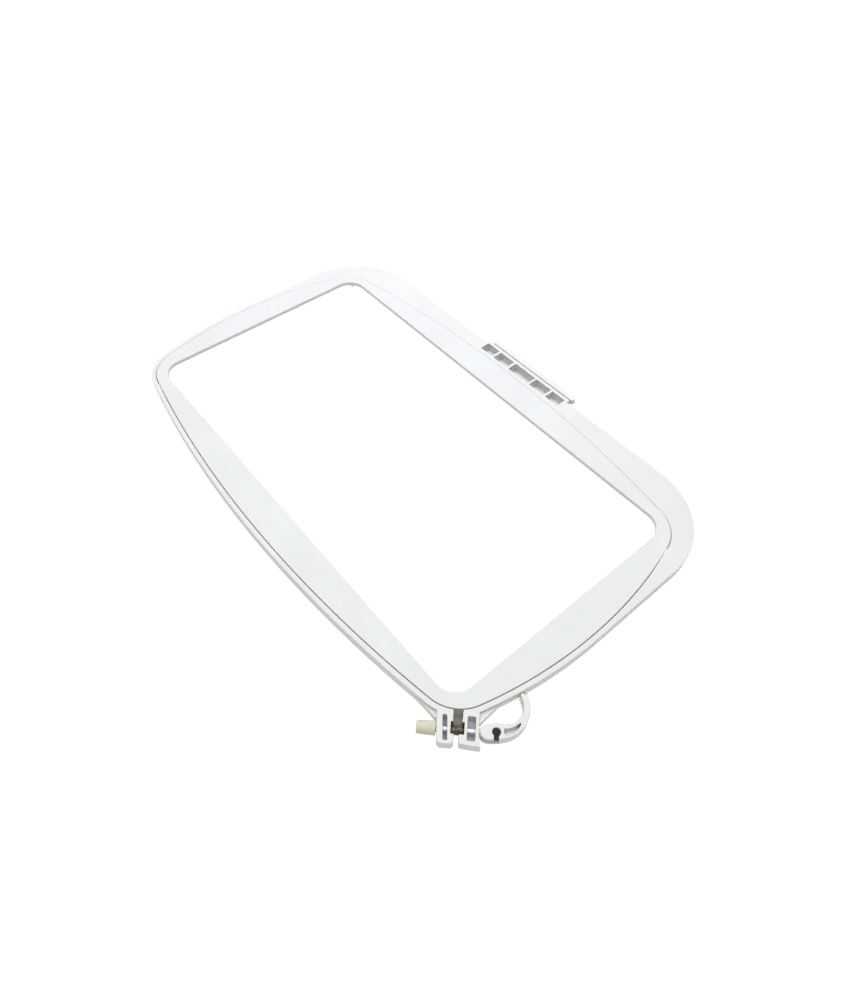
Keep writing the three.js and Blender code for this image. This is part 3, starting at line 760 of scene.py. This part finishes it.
def inner_hoop():
    """A flat plate with the opening, a skirt round it and ribs under it."""
    body = slab(bowed_outline(0), 0, HEIGHT, top=0.25, bottom=0.35)
    hollow = cutter(bowed_outline(-SKIRT_WALL), 0, PLATE_Z, bottom=0.35)
    opening = rectangle((-OPENING_X, OPENING_X), (-OPENING_Y, OPENING_Y), OPENING_CORNER, 20)
    cut(body, hollow, cutter(opening, PLATE_Z, HEIGHT, top=0.6, bottom=0.4))
    joined(body, inner_ribs(), corner_stud())
    finished(body, "inner_hoop_body", "inner_hoop", "inner_frame", WHITE)


# ---- outer hoop -----------------------------------------------------------------------------

def lugs():
    """The lugs on both sides of the split; the left one leans with it."""
    end = LUG_END - LUG_CORNER
    left = [(0, SLOT_Y[0]), (0, LEFT_LUG_Y)]
    left += arc(end, LEFT_LUG_Y + LUG_CORNER, LUG_CORNER, -QUARTER, 0, 8)
    left += arc(end, SLOT_Y[0] - LUG_CORNER, LUG_CORNER, 0, QUARTER, 8)
    right = [(0, SLOT_Y[1] + FLARE * ROD_X), (17.6, SLOT_Y[1] - 0.15), (18.9, SLOT_Y[1] - 1.4)]
    right += arc(LUG_END - 1.9, SLOT_Y[1] + 0.1, 1.5, -QUARTER, 0, 8)
    right += [(LUG_END + 0.3, RIGHT_LUG_Y + 1.2), (19.5, RIGHT_LUG_Y), (0, RIGHT_LUG_Y)]
    outlines = (leaning(left, FLARE), right)
    return [moved(slab(outline, 0, HEIGHT, top=0.6, bottom=0.4), CLAMP) for outline in outlines]


def gussets():
    outlines = (LEFT_GUSSET, RIGHT_GUSSET)
    return [moved(slab(outline, *GUSSET_Z, top=0.5, bottom=0.4), CLAMP) for outline in outlines]


def clamp_holes():
    """The pockets, the rod's bore and the notch for the spring and its seats."""
    tools = []
    for x, y, lean in POCKETS:
        outline = leaning(rectangle(x, y, 1), lean)
        tools.append(cutter(outline, POCKET_FLOOR_Z, HEIGHT, top=0.35))
    tools.append(bar(ROD_HOLE, (LEFT_LUG_Y - 1, RIGHT_LUG_Y + 3), "Y", ROD_CENTRE, 40))
    half = NOTCH_HALF_LENGTH
    notch = rectangle((ROD_X - half, ROD_X + half), (SLOT_Y[0] - SEAT_DEPTH, SLOT_Y[1] + SEAT_DEPTH), 0.3)
    tools.append(cutter(notch, ROD_Z - half, HEIGHT, top=0.2))
    return [moved(tool, CLAMP) for tool in tools]


def split_cut():
    x0, x1 = SPLIT_X
    left0, right0 = slot_sides(x0)
    left1, right1 = slot_sides(x1)
    return moved(slab([(x0, left0), (x1, left1), (x1, right1), (x0, right0)], BELOW, ABOVE), CLAMP)


def tongue_recess():
    """The slot in the right lug that the tongue's end slides in."""
    x0, x1 = TONGUE_X
    middle = sum(SLOT_Y) / 2
    y0, y1 = (slot_sides(x)[1] + TONGUE_RECESS for x in TONGUE_X)
    outline = [(x0, middle), (x1 + TOUCH, middle), (x1 + TOUCH, y1), (x0, y0)]
    return moved(slab(outline, BELOW, TONGUE_Z[1] + TOUCH), CLAMP)


def split_tongue():
    """A tongue from the left lug closes the foot of the split."""
    outline = [(x, slot_sides(x)[0] - TONGUE_ROOT) for x in TONGUE_X]
    outline += [(x, slot_sides(x)[1] + TONGUE_REACH) for x in reversed(TONGUE_X)]
    body = moved(slab(outline, *TONGUE_Z, top=0.1, bottom=0.1), CLAMP)
    cut(body, moved(slab(bowed_outline(GAP), BELOW, ABOVE), GAP_MOVE))
    # Painted shade: the tongue belongs to the hoop's moulding but takes a dark olive grey for the shadow in
    # the narrow split
    finished(body, "split_tongue_body", "outer_hoop", "outer_frame", TONGUE_SHADE)


def flange_hollow():
    """The space under the flange, with its ribs left out."""
    edge = FLANGE_X - FLANGE_WALL
    inside = flange_outline(FLANGE_WALL) + [(-edge, FLANGE_ROOT_Y), (edge, FLANGE_ROOT_Y)]
    hollow = cutter(inside, 0, FLANGE_UNDER_Z, bottom=0.3)
    cut(hollow, slab(bowed_outline(RING_OFFSET), BELOW, ABOVE))
    half = RIB_WALL / 2
    ribs = []
    for i in range(-5, 6):
        x = FLANGE_RIB_SHIFT + i * RIB_PITCH
        if x < FOOT_X[0] - 2 or x > FOOT_X[1] + 2:
            outline = rectangle((x - half, x + half), (FLANGE_RIB_ROOT_Y, FLANGE_EDGE_Y))
            ribs.append(slab(outline, FLANGE_RIB_Z, HEIGHT, bottom=0.35))
    return cut(hollow, merged(ribs))


def foot_recess():
    """Room for the connector's foot plate, with a little play all round."""
    steps = ((FOOT_X, FOOT_Y[1]), (FLOOR_X, FLOOR_EDGE_Y), (NECK_X, RAIL_Y[0] + 1))
    tools = []
    for (x0, x1), edge in steps:
        outline = rectangle((x0 - TOUCH, x1 + TOUCH), (FOOT_Y[0] - TOUCH, edge + TOUCH))
        tools.append(slab(outline, BELOW, FOOT_Z[1] + TOUCH))
    return tools


def in_pocket(at):
    """Whether a point in the clamp's millimetres lies on the inside of a lug's pocket."""
    for x, y, lean in POCKETS:
        across = at.y - lean * (at.x - ROD_X)
        if x[0] - 0.1 < at.x < x[1] + 0.1 and y[0] - 0.1 < across < y[1] + 0.1 and at.z < HEIGHT - 0.6:
            return True
    return False


def outer_hoop():
    """The ring, its flange and the lugs, in one moulding."""
    outline = flange_outline(0) + bowed_lower_half(RING_OFFSET)[1:-1]
    body = slab(outline, 0, HEIGHT, top=0.7, bottom=0.4)
    cut(body, flange_hollow())
    pad = slab(rectangle(PAD_X, PAD_Y, 0.6), 0, HEIGHT, top=0.5, bottom=0.3)
    catch = slab(rectangle(CATCH_X, CATCH_Y, 0.5), *CATCH_Z, top=0.4, bottom=0.4)
    bosses = [bar(BOSS_RADIUS, (FOOT_Z[1], HEIGHT - 1), "Z", (x, SCREW_Y, 0), 32) for x in SCREW_X]
    joined(body, *lugs(), *gussets(), pad, catch, *bosses)
    windows = [cutter(rectangle(x, WINDOW_Y, 0.5), 0, HEIGHT, top=0.35, bottom=0.3) for x in WINDOWS]
    screw_holes = [bar(SCREW_HOLE, (BELOW, HEIGHT - 2), "Z", (x, SCREW_Y, 0), 24) for x in SCREW_X]
    cut(body, split_cut(), tongue_recess(), *clamp_holes(), *windows, *foot_recess(), *screw_holes)
    cut(body, moved(cutter(bowed_outline(GAP), 0, HEIGHT, top=0.15, bottom=0.3), GAP_MOVE))
    finished(body, "outer_hoop_body", "outer_hoop", "outer_frame", IVORY)
    # Painted shade: the faces inside the pockets take the darker grey for the shadow deep in them
    refinished(body, POCKET_SHADE, CLAMP, lambda at, normal: in_pocket(at))


# ---- connector ------------------------------------------------------------------------------

def on_foot_plate(at, normal):
    """The top of the foot plate is the floor of the windows."""
    return normal.z > 0.9 and abs(at.z - FOOT_Z[1]) < 0.3


def connector_block():
    """The foot plate, the windows' floor, a neck and the rail, in one moulding."""
    body = slab(rectangle(FOOT_X, FOOT_Y, 0.6), *FOOT_Z, top=0.25, bottom=0.25)
    joined(
        body,
        slab(rectangle(FLOOR_X, (FOOT_Y[0], FLOOR_EDGE_Y), 0.4), *FOOT_Z, top=0.25, bottom=0.25),
        slab(rectangle(NECK_X, (FOOT_Y[0] + 1, RAIL_Y[0] + 1), 0.3), *FOOT_Z, top=0.25, bottom=0.25),
        slab(rectangle(NECK_X, RAIL_Y, 0.5), FOOT_Z[0], RAIL_LIP_Z + 1, bottom=0.4),
        slab(rectangle(RAIL_X, RAIL_Y, RAIL_END_RADIUS, 16), RAIL_LIP_Z, HEIGHT, top=0.6, bottom=0.4),
    )
    rim = SCREW_SEAT + 0.25
    seat = [(0, BELOW), (rim, BELOW), (rim, FOOT_Z[0]), (SCREW_SEAT, FOOT_Z[0] + 0.25)]
    seat += [(SCREW_SEAT, SCREW_SEAT_Z), (0, SCREW_SEAT_Z)]
    for x in SCREW_X:
        shank = bar(SCREW_HOLE, (BELOW, HEIGHT), "Z", (x, SCREW_Y, 0), 32)
        cut(body, shank, turned(seat, "Z", (x, SCREW_Y, 0), 32))
    finished(body, "connector_block_body", "connector_block", "outer_frame", BLOCK)
    # Painted shade: the foot plate's top, the windows' floor, takes the darker grey for the shadow in the
    # windows
    refinished(body, WINDOW_FLOOR_SHADE, Matrix.Identity(4), on_foot_plate)


def connector_screw(x, index):
    """A pan-head screw put in from below, with a cross in its head and a tapping thread."""
    z = SCREW_HEAD_Z
    profile = [(0, z), (1.5, z), (1.9, z + 0.08), (2.15, z + 0.25), (SCREW_HEAD, z + 0.5)]
    profile.append((SCREW_RADIUS, z + 0.9))
    profile += thread(((SCREW_CORE, 0), (SCREW_RADIUS, 0.2)), z + 1.1, z + 4.6, SCREW_PITCH)
    profile += [(0.9, z + SCREW_LENGTH - 0.4), (0, z + SCREW_LENGTH)]
    body = turned(profile, "Z", (x, SCREW_Y, 0), 32)
    for turn in (0, QUARTER):
        slot = slab(rectangle((-1.15, 1.15), (-0.24, 0.24), 0.1), BELOW, z + 0.55)
        turning = Matrix.Rotation(turn + SCREW_TURN * index, 4, "Z")
        cut(body, moved(slot, Matrix.Translation((x, SCREW_Y, 0)) @ turning))
    node = f"connector_screw_{index + 1}"
    finished(body, f"{node}_body", node, "outer_frame", BRUSHED, sharp=30)


# ---- clamp ----------------------------------------------------------------------------------

def pin_hole():
    """The cross pin's hole, the same in the rod's eye and in the lever."""
    return bar(PIN_HOLE, (BELOW, ABOVE), "Z", PIN_CENTRE, 40)


def clamp_rod():
    """The rod: threaded under the thumb nut, with an eye for the lever's pin at its other end."""
    start = NUT_END_Y + 2.4
    profile = [(0, start), (1.6, start), (1.9, start + 0.3)]
    crest = ((ROD_CORE, 0), (ROD_RADIUS, 0.22), (ROD_RADIUS, 0.3))
    profile += thread(crest, start + 0.5, ROD_THREAD_END_Y, ROD_PITCH)
    profile += [(ROD_RADIUS, PIN_Y - 2), (0, PIN_Y - 2)]
    body = turned(profile, "Y", ROD_CENTRE, 48)
    eye = [(0, EYE_Z[0]), *rounded_ends(EYE_RADIUS, *EYE_Z, 0.4), (0, EYE_Z[1])]
    joined(body, turned(eye, "Z", PIN_CENTRE, 48))
    cut(body, pin_hole())
    finished(body, "clamp_rod_body", "clamp_rod", "rod", STEEL, in_clamp=True, sharp=30)


def clamp_spring():
    """A compression spring whose end turns lie flat against the seats."""
    margin = SEAT_GAP + SEAT_THICKNESS + SPRING_WIRE / 2 + SPRING_PLAY
    y0 = SLOT_Y[0] - SEAT_DEPTH + margin
    y1 = SLOT_Y[1] + SEAT_DEPTH - margin
    coil = SPRING_RADIUS - SPRING_WIRE / 2
    turns = SPRING_TURNS + 0.8
    steps = int(turns * 40)
    path = []
    for i in range(steps + 1):
        turn = turns * i / steps
        rise = min(max((turn - CLOSED_TURN) / (turns - 2 * CLOSED_TURN), 0), 1)
        angle = 2 * math.pi * turn
        y = y0 + (y1 - y0) * rise
        path.append(Vector((ROD_X + coil * math.cos(angle), y, ROD_Z + coil * math.sin(angle))))
    body = swept(path, SPRING_WIRE / 2)
    # The spring's bronze is darkened as painted shade for the shadow it sits in between the lugs
    finished(body, "clamp_spring_body", "clamp_spring", "outer_frame", SHADED_BRONZE, in_clamp=True)


def spring_seat(side, y, tab_y):
    """A ring behind the spring with a tab bent over the spring's end."""
    inner = [(ROD_HOLE, y), (ROD_HOLE, y + SEAT_THICKNESS)]
    body = rod_ring(rounded_ends(SEAT_RADIUS, y, y + SEAT_THICKNESS, 0.1), inner, 48)
    web = slab(rectangle(SEAT_TAB_X, (y, y + SEAT_THICKNESS)), SEAT_WEB_Z, SEAT_TAB_Z[1] - 0.1)
    tab_outline = rectangle(SEAT_TAB_X, (tab_y, tab_y + SEAT_TAB_THICKNESS), 0.2)
    joined(body, web, slab(tab_outline, *SEAT_TAB_Z, top=0.2, bottom=0.2))
    node = f"spring_seat_{side}"
    # Painted shade: the seat and its tab are near-black to stand for the shadow in the notch's corners
    finished(body, f"{node}_body", node, "outer_frame", SEAT_SHADE, in_clamp=True, sharp=30)


def nut_washer():
    """The washer between the nut's insert and the left lug."""
    start = WASHER_Y
    end = WASHER_Y + WASHER_THICKNESS
    rim = ROD_HOLE + 0.1
    inner = [(rim, start), (ROD_HOLE, start + 0.1), (ROD_HOLE, end - 0.1), (rim, end)]
    body = rod_ring(rounded_ends(WASHER_RADIUS, start, end, 0.3 * WASHER_THICKNESS), inner, 56)
    finished(body, "nut_washer_body", "nut_washer", "washer", BRUSHED, in_clamp=True,
             sharp=30)


def thumb_nut():
    """A tapered cap with fine flutes, open towards the lug and pierced at its outer end."""
    start = NUT_END_Y
    end = NUT_MOUTH_Y
    narrow, wide = NUT_RADIUS
    profile = [(0, start), (3.0, start)]
    fillet = edge_rings(start, end, 0, NUT_FILLET, 6)[:-1]
    profile += [(narrow - distance, along) for distance, along in fillet]
    profile += [(wide, end - 0.25), (wide - 0.08, end - 0.08), (wide - 0.23, end), (0, end)]
    body = turned(profile, "Y", ROD_CENTRE, 80)
    bore = bar(NUT_BORE, (start + 1.2, end + 1), "Y", ROD_CENTRE, 48)
    rim = NUT_HOLE + 0.3
    mouth = [(0, start - 1), (rim, start - 1), (rim, start)]
    mouth += [(NUT_HOLE, start + 0.3), (NUT_HOLE, start + 2), (0, start + 2)]
    cut(body, bore, turned(mouth, "Y", ROD_CENTRE, 40))
    flute = [(0, start - 1), (FLUTE_RADIUS, start - 1), (FLUTE_RADIUS, end - 2)]
    flute += [(0.2, end - 1.6), (0, end - 1.5)]
    cut(body, bars_round_rod(flute, NUT_FLUTES, narrow + FLUTE_OUTSET, 16, 0.5))
    finished(body, "thumb_nut_body", "thumb_nut", "nut", CREAM, in_clamp=True, sharp=50)


def nut_insert():
    """A threaded brass sleeve with a grooved outside that grips the nut's plastic."""
    end = WASHER_Y - TOUCH - 0.4
    start = end - INSERT_LENGTH
    crest, root = INSERT_HOLE
    inner = [(root, start), *thread(((crest, 0.2), (root, 0.4)), start, end - 0.6, ROD_PITCH), (root, end)]
    body = rod_ring(rounded_ends(INSERT_RADIUS, start, end, 0.2), inner, 60)
    groove = [(0, start - 1), (0.16, start - 1), (0.16, end - 0.8), (0, end - 0.6)]
    cut(body, bars_round_rod(groove, INSERT_GROOVES, INSERT_RADIUS + 0.05, 10))
    finished(body, "nut_insert_body", "nut_insert", "nut", BRASS, in_clamp=True, sharp=30)


def lever_recess():
    """The recess is deepest at its inner edge, and its floor climbs towards the lever's outside."""
    tool = slab(spline(RECESS_OUTLINE), 0, ABOVE)
    x0, y0 = RECESS_OUTLINE[0]
    for vertex in tool.data.vertices:
        at = vertex.co
        if at.z < HEIGHT:
            at.z = RECESS_FLOOR + RECESS_RISE[0] * (at.x - x0) + RECESS_RISE[1] * (at.y - y0)
    return tool


def eye_slot():
    """The slot in the lever's nose for the rod's eye, open towards the rod and on the lever's outside."""
    reach = EYE_RADIUS + 0.4
    far_x = PIN_X + LEVER_SLOT_REACH
    far_y = PIN_Y - LEVER_SLOT_REACH
    outline = arc(PIN_X, PIN_Y, reach, math.asin(LEVER_SLOT_SIDE / reach), math.pi, 32)
    outline += [(PIN_X - reach, far_y), (far_x, far_y), (far_x, PIN_Y + LEVER_SLOT_SIDE)]
    return slab(outline, *LEVER_SLOT_Z)


def cam_lever():
    """The crescent lever, with the pin's holes and the eye's slot in its nose."""
    body = slab(spline(LEVER_OUTLINE), TOUCH, HEIGHT, top=0.6, bottom=0.4)
    seat = PIN_HEAD + 0.2
    rim = seat + 0.3
    head = [(0, ROD_Z), (seat, ROD_Z), (seat, HEIGHT - 0.3), (rim, HEIGHT), (rim, ABOVE), (0, ABOVE)]
    head_seat = turned(head, "Z", PIN_CENTRE, 48)
    clip_seat = bar(CLIP_SEAT, (BELOW, CLIP_SEAT_Z), "Z", PIN_CENTRE, 48)
    side = KEY_HALF_WIDTH + 0.15
    key_outline = rectangle((PIN_X, PIN_X + KEYWAY_REACH), (PIN_Y - side, PIN_Y + side))
    keyway = cutter(key_outline, LEVER_SLOT_Z[1] - 0.2, HEIGHT, top=0.2)
    cut(body, lever_recess(), eye_slot(), pin_hole(), head_seat, clip_seat, keyway)
    finished(body, "cam_lever_body", "cam_lever", "lever", LEVER, in_clamp=True)


def lever_pin():
    """The cross pin: a groove for the clip at its foot, and a head with a dished top and a key."""
    top = PIN_TOP_Z
    shoulder = LEVER_SLOT_Z[1] + 0.1
    profile = [(0, 0.4), (PIN_RADIUS - 0.25, 0.4), (PIN_RADIUS, 0.5), (PIN_RADIUS, 0.52)]
    profile += [(PIN_GROOVE, 0.54), (PIN_GROOVE, 1.16), (PIN_RADIUS, 1.2), (PIN_RADIUS, shoulder)]
    profile += [(PIN_HEAD, shoulder), (PIN_HEAD, top - 0.4), (PIN_HEAD - 0.12, top - 0.12)]
    profile += [(PIN_HEAD - 0.4, top), (1.35, top), (1.2, top - 0.35), (0.6, top - 0.3), (0, top - 0.25)]
    body = turned(profile, "Z", PIN_CENTRE, 56)
    key = rectangle((PIN_X + 1.9, KEY_X), (PIN_Y - KEY_HALF_WIDTH, PIN_Y + KEY_HALF_WIDTH), 0.5)
    joined(body, slab(key, shoulder, top - 0.1, top=0.25, bottom=0.1))
    finished(body, "lever_pin_body", "lever_pin", "lever", BLACK, in_clamp=True, sharp=30)


def pin_clip():
    """An open ring in the groove at the foot of the cross pin."""
    last = 2 * math.pi - CLIP_MOUTH
    outline = arc(PIN_X, PIN_Y, CLIP_RADIUS, CLIP_MOUTH, last, 48)
    outline += arc(PIN_X, PIN_Y, CLIP_HOLE, last, CLIP_MOUTH, 32)
    body = slab(outline, *CLIP_Z, top=0.1, bottom=0.1, steps=2)
    finished(body, "pin_clip_body", "pin_clip", "lever", BRUSHED, in_clamp=True, sharp=30)


inner_hoop()
outer_hoop()
split_tongue()
connector_block()
for number, place in enumerate(SCREW_X):
    connector_screw(place, number)
clamp_rod()
clamp_spring()
seat_y = (SLOT_Y[0] - SEAT_DEPTH + SEAT_GAP, SLOT_Y[1] + SEAT_DEPTH - SEAT_GAP)
spring_seat("left", seat_y[0], seat_y[0])
spring_seat("right", seat_y[1] - SEAT_THICKNESS, seat_y[1] - SEAT_TAB_THICKNESS)
nut_washer()
thumb_nut()
nut_insert()
cam_lever()
lever_pin()
pin_clip()


# ---- floor, light and camera ----------------------------------------------------------------

def floor():
    """A pale sheet just under the hoop, lit from within like a light table."""
    size = FLOOR_HALF_SIZE
    corners = [(x, y, 0) for x, y in rectangle((-size, size), (-size, size))]
    made = solid("floor", corners, [(0, 1, 2, 3)])
    made.location.z = low.z - FLOOR_DROP
    paper = finish_material("lit_paper", (0.05, 0.05, 0.048), (0.06, 0.06, 0.058), (0.8, 0.9), 0.05,
                            tone_scale=2, grain_scale=900)
    shader = paper.node_tree.nodes["Principled BSDF"]
    shader.inputs["Emission Color"].default_value = (1.0, 0.985, 0.965, 1)
    shader.inputs["Emission Strength"].default_value = 1.04
    made.data.materials.append(paper)


def overhead_lamp():
    data = bpy.data.lights.new("overhead", "AREA")
    data.shape = "SQUARE"
    data.size = LAMP_SIZE
    data.energy = LAMP_POWER
    data.color = LAMP_COLOUR
    made = linked("overhead", data)
    made.location = LAMP_PLACE
    made.rotation_euler = (Vector(LAMP_TARGET) - Vector(LAMP_PLACE)).to_track_quat("-Z", "Y").to_euler()


def sky():
    """A white surround, brightest overhead and dimmer near the horizon."""
    world = bpy.data.worlds.new("studio")
    bpy.context.scene.world = world
    world.use_nodes = True
    nodes = world.node_tree.nodes
    links = world.node_tree.links
    place = nodes.new("ShaderNodeTexCoord")
    parts = nodes.new("ShaderNodeSeparateXYZ")
    links.new(place.outputs["Generated"], parts.inputs["Vector"])
    shade = ramp(nodes, links, parts.outputs["Z"], (0.042, 0.041, 0.038), (0.905, 0.92, 0.90), 0.6, 1.0)
    background = nodes["Background"]
    links.new(shade, background.inputs["Color"])
    background.inputs["Strength"].default_value = SKY_STRENGTH


def camera():
    """The photo's point of view, from beyond the clamp's corner."""
    data = bpy.data.cameras.new("photo_camera")
    data.sensor_width = 36
    data.lens = CAMERA_LENS
    data.clip_start = 0.01
    made = linked("photo_camera", data)
    turn = Euler([math.radians(angle) for angle in CAMERA_TURN])
    made.matrix_world = Matrix.LocRotScale(MIDDLE + Vector(CAMERA_PLACE), turn, None)
    bpy.context.scene.camera = made


floor()
sky()
overhead_lamp()
camera()
bpy.context.scene.view_settings.view_transform = "Standard"
